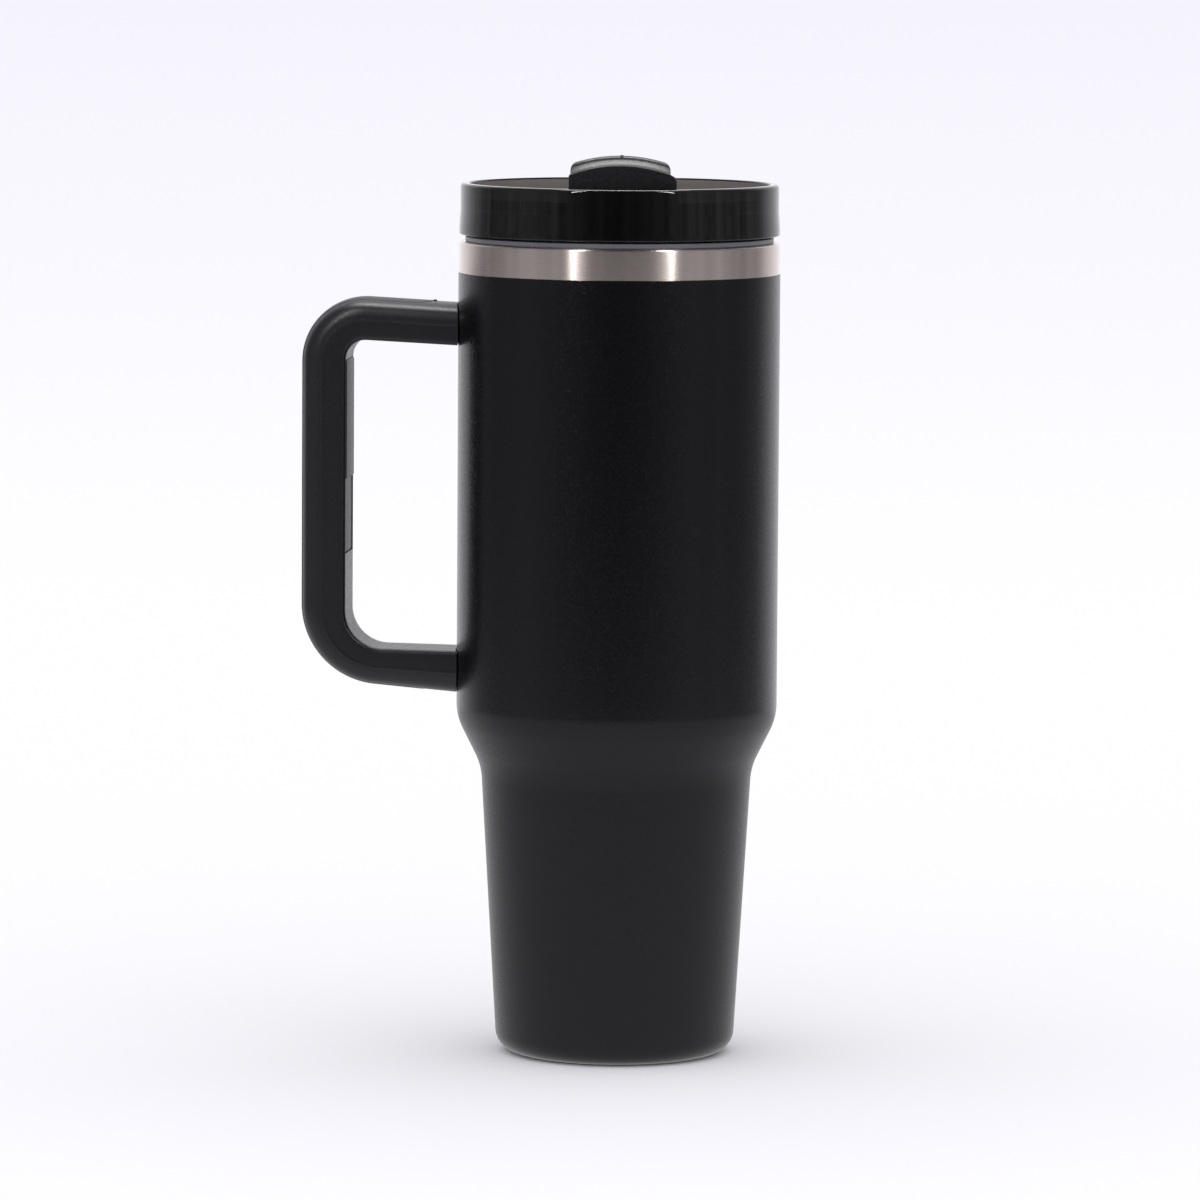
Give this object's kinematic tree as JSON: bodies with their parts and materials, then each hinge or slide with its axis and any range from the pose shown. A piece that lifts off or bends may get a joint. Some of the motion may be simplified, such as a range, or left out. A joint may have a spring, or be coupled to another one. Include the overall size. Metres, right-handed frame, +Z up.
{
  "type": "insulated travel mug",
  "caption": "Handled vacuum-insulated steel travel mug with a tapered base, a screw-on lid and a turning cover that closes the lid or opens its straw hole or sip slot.",
  "frame": {"origin": "centre of the base's rest plane, on the cup's axis", "axes": "+Z up along the cup's axis, the handle on the -X side, the lid's tab facing about -Y"},
  "size_m": [0.1465, 0.0986, 0.2773],
  "materials": {
    "powder_coat": "fine-textured black powder coat, bare brushed steel above its top edge",
    "liner_steel": "electropolished satin",
    "base_steel": "plain mill finish",
    "seal_glass": "fused solder glass",
    "getter_metal": "sintered, matte",
    "handle_plastic": "fine mould texture",
    "soft_grip": "soft-touch matte",
    "screw_steel": "plain",
    "grey_silicone": "satin",
    "smoke_plastic": "polished smoke-black, slightly clear",
    "pin_plastic": "fine texture",
    "cover_plastic": "spark-eroded mould texture on the tab's face, satin elsewhere"
  },
  "bodies": {
    "cup": {"outer_wall": "powder_coat", "inner_liner": "liner_steel", "liner_bottom": "liner_steel", "vacuum_base": "base_steel", "vacuum_seal_bead": "seal_glass", "base_cap": "powder_coat", "getter_clip": "base_steel", "getter": "getter_metal", "handle_frame": "handle_plastic", "outer_grip_pad": "soft_grip", "inner_grip_pad": "soft_grip", "upper_handle_tang": "base_steel", "lower_handle_tang": "base_steel", "handle_screws": "screw_steel"},
    "gasket": {"lid_gasket": "grey_silicone"},
    "lid": {"lid_body": "smoke_plastic", "straw_seal": "grey_silicone", "cover_pivot_pin": "pin_plastic", "pivot_o_ring": "grey_silicone"},
    "cover": {"rotating_cover": "cover_plastic", "cover_seal": "grey_silicone"}
  },
  "joints": [
    {"name": "lid_rise", "type": "slide", "parent": "cup", "child": "gasket", "axis": [0, 0, 1], "range_m": [0, 0.03]},
    {"name": "lid_unscrew", "type": "hinge", "parent": "gasket", "child": "lid", "pos_m": [0, 0, 0.25], "axis": [0, 0, 1], "range_deg": [0, 900]},
    {"name": "cover_turn", "type": "hinge", "parent": "lid", "child": "cover", "pos_m": [0, 0, 0.262], "axis": [0, 0, 1], "range_deg": [-55, 55]}
  ],
  "couplings": [
    {"joint": "lid_rise", "follows": "lid_unscrew", "m_per_rad": 0.0019099}
  ]
}
